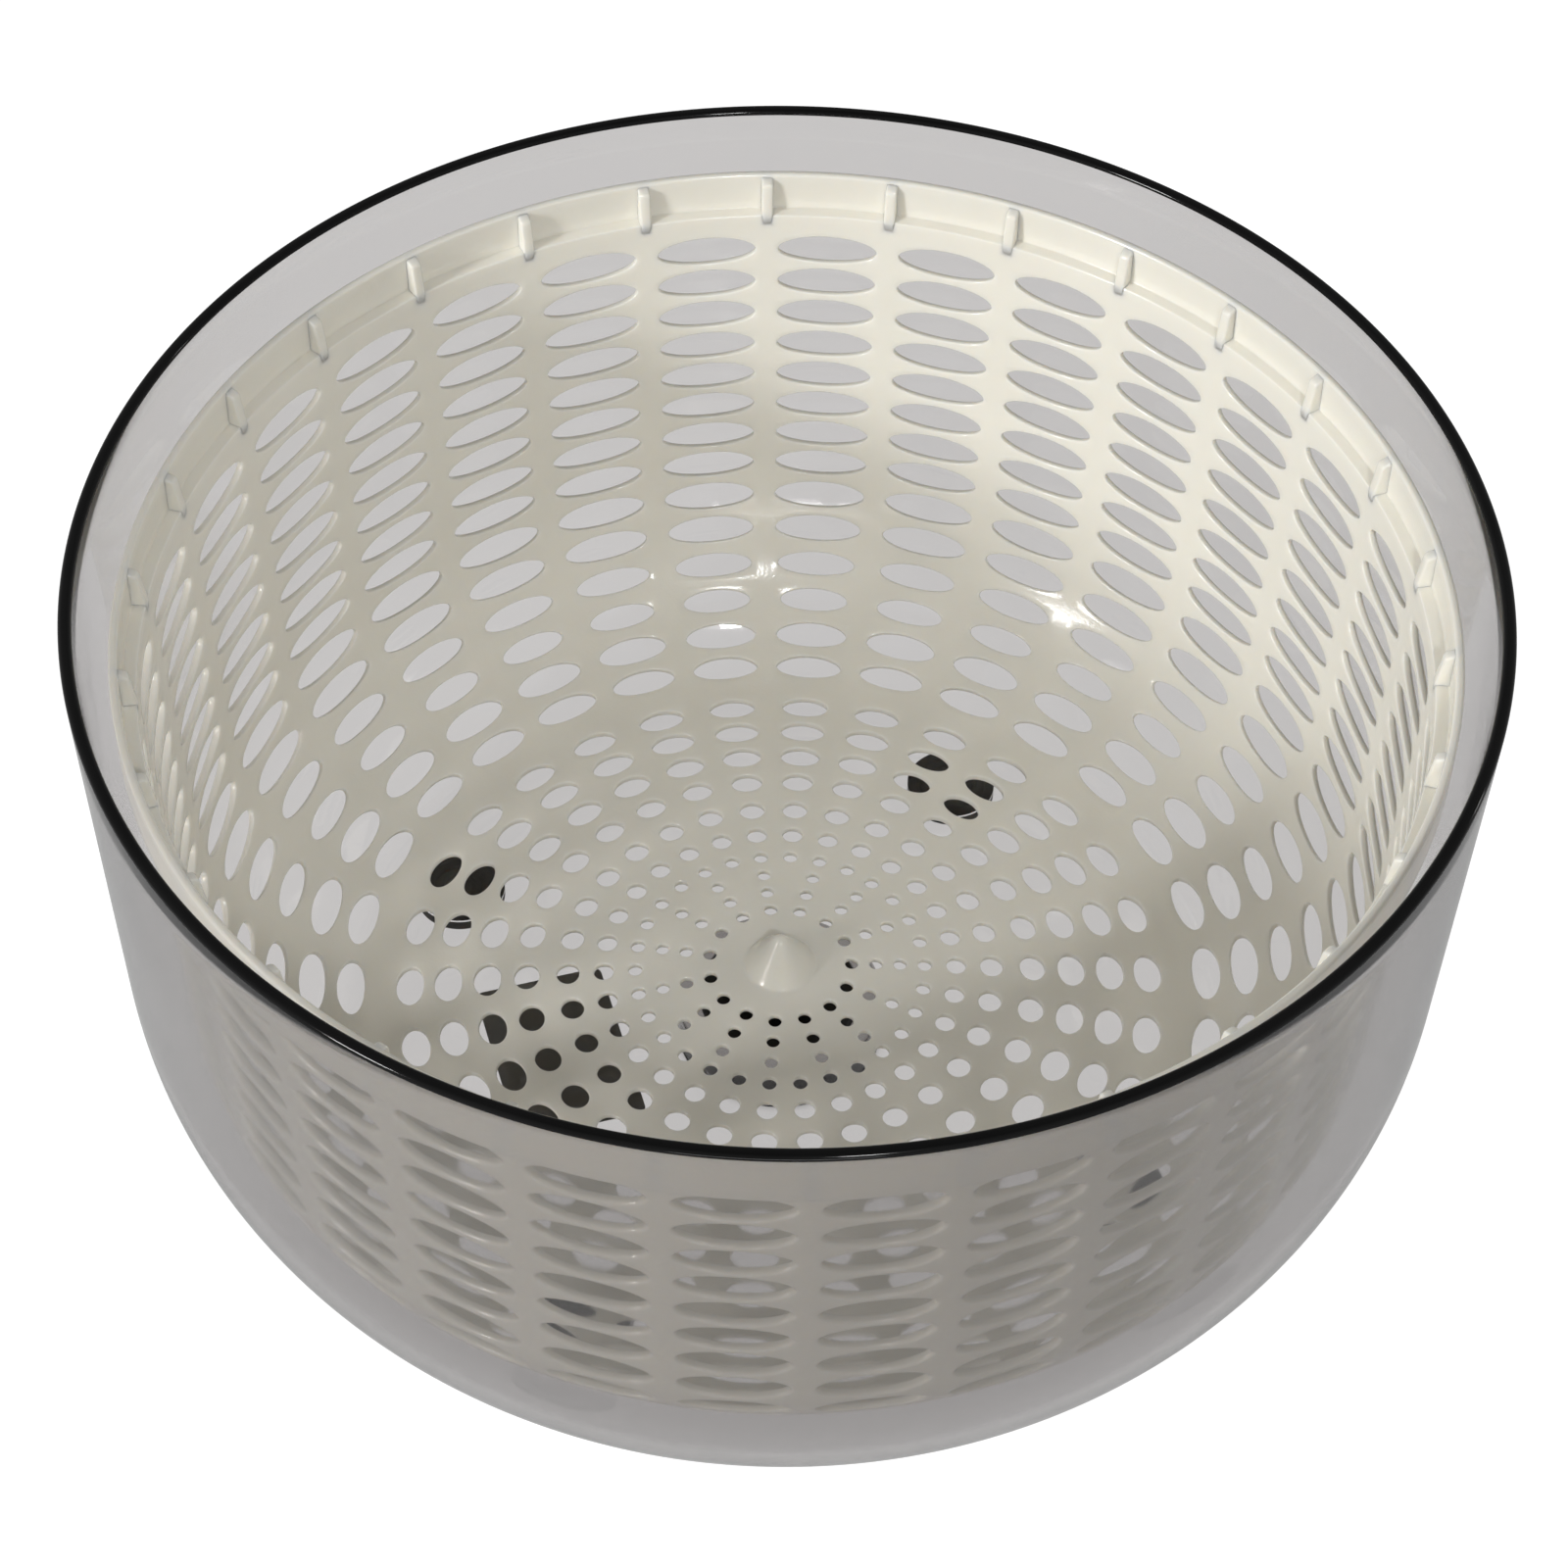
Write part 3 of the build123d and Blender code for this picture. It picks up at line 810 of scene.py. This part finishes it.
def satin_plastic(name, dark, light, rough, shine=0.5, grain=0.00002):
    """Moulded plastic or rubber: faint mottling, uneven shine and a fine grain."""
    material, tree, shader = new_material(name)
    colour = two_colours(tree, spread(tree, noise(tree, 45.0, 4.0), 0, 1), dark, light)
    tree.links.new(colour, shader.inputs["Base Color"])
    roughness = spread(tree, noise(tree, 120.0, 3.0), rough[0], rough[1])
    tree.links.new(roughness, shader.inputs["Roughness"])
    shader.inputs["Specular IOR Level"].default_value = shine
    bump(tree, shader, noise(tree, 1800.0, 2.0), grain)
    return material


def let_light_through(material):
    """Makes thin walls glow faintly with the light that falls on their other side."""
    shader = material.node_tree.nodes["Principled BSDF"]
    shader.inputs["Subsurface Weight"].default_value = GLOW_WEIGHT
    shader.inputs["Subsurface Radius"].default_value = (1.0, 0.9, 0.75)
    shader.inputs["Subsurface Scale"].default_value = GLOW_REACH


# ---- stage -----------------------------------------------------------------------------
RIM_MIDDLE = Vector((0, 0, RIM_Z * MM))
FLOOR_GLOW = 0.97  # as the camera sees it, straight or through the bowl
FLOOR_BOUNCE = 0.36  # as it lights the object and shows in reflections
AMBIENT = 0.06  # light from every direction
SKY = (  # a direction, and how bright that side is
    (0, -1, 0, 0.35),
    (0, 1, 0, 0.25),
    (1, 0, 0, 0.3),
    (-1, 0, 0, 0.3),
)
LAMPS = (  # name, degrees right of the front, degrees up, metres away, width, height, watts
    ("key", -55, 21, 1.6, 0.24, 0.24, 16.0),
    ("front", 12, 42, 1.3, 0.1, 0.1, 4.0),
    ("low_front", 0, -2.5, 1.3, 0.6, 0.1, 3.2),
    ("side", 104.9, 11, 1.3, 0.06, 0.06, 0.4),
)


def make_floor():
    """A pale glowing table, as a light table under the object."""
    builder = Builder()
    side = 6000.0
    corners = [(-side, -side, 0), (side, -side, 0), (side, side, 0), (-side, side, 0)]
    builder.add_faces([builder.add_points(corners).tolist()])
    floor = builder.object("floor")
    material, tree, shader = new_material("pale_floor")
    shader.inputs["Base Color"].default_value = (0.2, 0.2, 0.2, 1)
    shader.inputs["Roughness"].default_value = 0.9
    shader.inputs["Specular IOR Level"].default_value = 0.0
    shader.inputs["Emission Color"].default_value = (1, 1, 1, 1)
    path = tree.nodes.new("ShaderNodeLightPath")
    glow = tree.nodes.new("ShaderNodeMix")
    glow.inputs["A"].default_value = FLOOR_GLOW
    glow.inputs["B"].default_value = FLOOR_BOUNCE
    tree.links.new(path.outputs["Is Reflection Ray"], glow.inputs["Factor"])
    tree.links.new(glow.outputs["Result"], shader.inputs["Emission Strength"])
    floor.data.materials.append(material)


def make_lamp(name, azimuth, elevation, distance, width, height, power):
    """A soft light aimed at the middle of the rim. Azimuth 0 is in front, and positive turns
    towards +X."""
    data = bpy.data.lights.new(name, "AREA")
    data.shape = "RECTANGLE"
    data.size, data.size_y = width, height
    data.energy = power
    light = bpy.data.objects.new(name, data)
    a, e = radians(azimuth), radians(elevation)
    away = Vector((sin(a) * cos(e), -cos(a) * cos(e), sin(e)))
    light.location = RIM_MIDDLE + away * distance
    light.rotation_mode = "QUATERNION"
    light.rotation_quaternion = away.to_track_quat("Z", "Y")
    bpy.context.scene.collection.objects.link(light)


def make_world():
    """Even light, and soft light from each side listed in SKY."""
    world = bpy.data.worlds.new("studio")
    world.use_nodes = True
    tree = world.node_tree
    place = tree.nodes.new("ShaderNodeTexCoord")
    total = None
    for *side, strength in SKY:
        facing = tree.nodes.new("ShaderNodeVectorMath")
        facing.operation = "DOT_PRODUCT"
        tree.links.new(place.outputs["Generated"], facing.inputs[0])
        facing.inputs[1].default_value = side
        share = tree.nodes.new("ShaderNodeMath")
        share.operation = "MAXIMUM"
        share.inputs[1].default_value = 0
        tree.links.new(facing.outputs["Value"], share.inputs[0])
        add = tree.nodes.new("ShaderNodeMath")
        add.operation = "MULTIPLY_ADD"
        tree.links.new(share.outputs[0], add.inputs[0])
        add.inputs[1].default_value = strength
        if total is None:
            add.inputs[2].default_value = AMBIENT
        else:
            tree.links.new(total, add.inputs[2])
        total = add.outputs[0]
    shade = tree.nodes["Background"]
    shade.inputs["Color"].default_value = (1, 1, 1, 1)
    tree.links.new(total, shade.inputs["Strength"])
    bpy.context.scene.world = world


CAMERA_DISTANCE = 0.683  # metres from the middle of the rim
CAMERA_ELEVATION = 45.68  # degrees that it stands above the rim
CAMERA_DIP = 48.81  # degrees that it looks down
CAMERA_ROLL = -1.198  # degrees
CAMERA_LENS = 90.9


def make_camera():
    """The camera, aimed a little below the middle of the rim."""
    data = bpy.data.cameras.new("camera")
    data.lens = CAMERA_LENS
    data.clip_start = 0.01
    camera = bpy.data.objects.new("camera", data)
    rise, dip, roll = radians(CAMERA_ELEVATION), radians(CAMERA_DIP), radians(CAMERA_ROLL)
    right = Vector((1, 0, 0))
    up = Vector((0, sin(dip), cos(dip)))
    back = Vector((0, -cos(dip), sin(dip)))
    x_axis = right * cos(roll) - up * sin(roll)
    y_axis = right * sin(roll) + up * cos(roll)
    turn = Matrix((x_axis, y_axis, back)).transposed().to_4x4()
    place = RIM_MIDDLE + CAMERA_DISTANCE * Vector((0, -cos(rise), sin(rise)))
    camera.matrix_world = Matrix.Translation(place) @ turn
    bpy.context.scene.collection.objects.link(camera)
    bpy.context.scene.camera = camera


# ---- put together ----------------------------------------------------------------------
def finish_piece(obj, body, slot, materials, *nodes):
    for material in materials:
        obj.data.materials.append(material)
    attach(obj, body)
    if nodes:
        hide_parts(*nodes)


smoked = smoked_plastic()
# the rim's top: near-black painted shade, in place of the dark that the clear smoked edge takes
# from light travelling down the length of the wall
rim_painted_shade = satin_plastic(
    "rim_painted_shade", (0.004, 0.004, 0.004), (0.006, 0.006, 0.006), (0.06, 0.1), shine=0.15, grain=0
)
cream = satin_plastic("cream_plastic", (0.85, 0.825, 0.745), (0.87, 0.845, 0.765), (0.13, 0.2))
let_light_through(cream)
black = satin_plastic("black_plastic", (0.008, 0.008, 0.008), (0.016, 0.016, 0.016), (0.35, 0.5))
rubber = satin_plastic("foot_rubber", (0.008, 0.008, 0.008), (0.014, 0.014, 0.015), (0.35, 0.5))
film = satin_plastic("label_film", (0.4, 0.4, 0.365), (0.44, 0.44, 0.4), (0.4, 0.55))

finish_piece(make_basket(), "basket", "cream_plastic", [cream], "basket")
finish_piece(make_bowl(), "bowl", "smoked_plastic", [smoked, rim_painted_shade], "bowl")
finish_piece(make_bush(), "bowl", "black_plastic", [black], "pivot_bush")
finish_piece(make_spindle(), "spindle", "black_plastic", [black], "pivot_spindle")
finish_piece(make_label(), "bowl", "label", [film], "base_label")
for foot in FEET:
    finish_piece(make_foot(foot), "bowl", "foot_rubber", [rubber], foot)

make_floor()
make_world()
for lamp in LAMPS:
    make_lamp(*lamp)
make_camera()
bpy.context.scene.view_settings.view_transform = "Standard"
